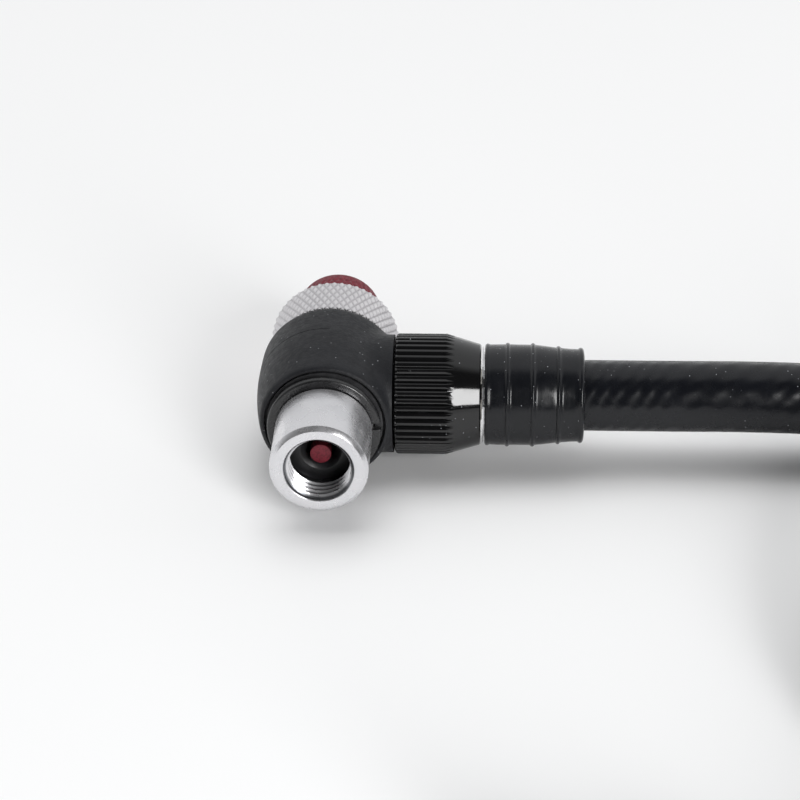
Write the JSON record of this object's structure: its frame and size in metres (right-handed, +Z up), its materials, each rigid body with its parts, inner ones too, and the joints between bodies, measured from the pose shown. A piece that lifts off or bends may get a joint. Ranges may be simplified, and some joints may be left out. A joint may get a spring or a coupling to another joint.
{
  "type": "tyre inflator hose and valve head",
  "caption": "Right-angle screw-on tyre valve head with a turning knurled grip, a valve-core pin worked by a knob, and a coiled rubber air hose with a union nut at each end.",
  "frame": {"origin": "on the surface it lies on, under the middle of the box of the head, its union nut and its strain relief", "axes": "+X along the hose away from the head, -Y out of the valve socket, +Z up"},
  "size_m": [0.1551, 0.1126, 0.0184],
  "materials": {
    "satin_black": "fine moulded satin black",
    "gloss_black": "polished gloss black",
    "silver": "turned and blasted clear anodised",
    "red_anodised": "dyed red anodised, blasted",
    "black_rubber": "satin moulded rubber",
    "nickel": "nickel plated",
    "bright_steel": "bright crimped sleeve",
    "black_steel": "oiled black spring steel",
    "nylon": "natural black nylon"
  },
  "bodies": {
    "head": {"head_body": "satin_black", "front_thrust_washer": "nylon", "rear_thrust_washer": "nylon"},
    "sleeve": {"valve_sleeve": "silver", "knurled_grip": "silver", "front_circlip": "black_steel", "front_oring": "black_rubber", "rear_oring": "black_rubber", "valve_seal": "black_rubber", "seal_backing_washer": "nylon"},
    "pin": {"depressor_pin": "red_anodised", "pin_oring": "black_rubber", "pin_clip": "black_steel"},
    "knob": {"depressor_knob": "red_anodised", "knob_cap": "red_anodised"},
    "hose": {"hose_insert": "nickel", "hose_insert_oring": "black_rubber", "hose_ferrule": "bright_steel", "hose_clamped_end": "black_rubber", "hose_strain_relief": "black_rubber", "air_hose_lead": "black_rubber", "hose_coil": "black_rubber", "air_hose_tail": "black_rubber", "coil_tie_a": "black_rubber", "coil_tie_b": "black_rubber", "pump_insert": "nickel", "pump_insert_oring": "black_rubber", "pump_ferrule": "bright_steel", "pump_clamped_end": "black_rubber", "pump_strain_relief": "black_rubber"},
    "nut": {"union_nut": "gloss_black"},
    "pump_union": {"pump_nut": "gloss_black"}
  },
  "joints": [
    {"name": "sleeve_turn", "type": "hinge", "parent": "head", "child": "sleeve", "pos_m": [-0.01079, -0.00155, 0.00842], "axis": [0, 1, 0], "continuous": true},
    {"name": "pin_advance", "type": "slide", "parent": "sleeve", "child": "pin", "axis": [0, -1, 0], "range_m": [0, 0.0015]},
    {"name": "knob_turn", "type": "hinge", "parent": "pin", "child": "knob", "pos_m": [-0.01079, 0.01345, 0.00842], "axis": [0, -1, 0], "range_deg": [0, 720]},
    {"name": "hose_release", "type": "slide", "parent": "head", "child": "hose", "axis": [1, 0, 0], "range_m": [0, 0.005]},
    {"name": "union_turn", "type": "hinge", "parent": "hose", "child": "nut", "pos_m": [0.00221, -0.00155, 0.00842], "axis": [1, 0, 0], "range_deg": [0, 1800]},
    {"name": "pump_union_turn", "type": "hinge", "parent": "hose", "child": "pump_union", "pos_m": [0.02226, -0.08655, 0.0071], "axis": [1, 0, 0], "continuous": true}
  ],
  "couplings": [
    {"joint": "knob_turn", "follows": "pin_advance", "rad_per_m": 8377.6},
    {"joint": "union_turn", "follows": "hose_release", "rad_per_m": 6283.2}
  ]
}
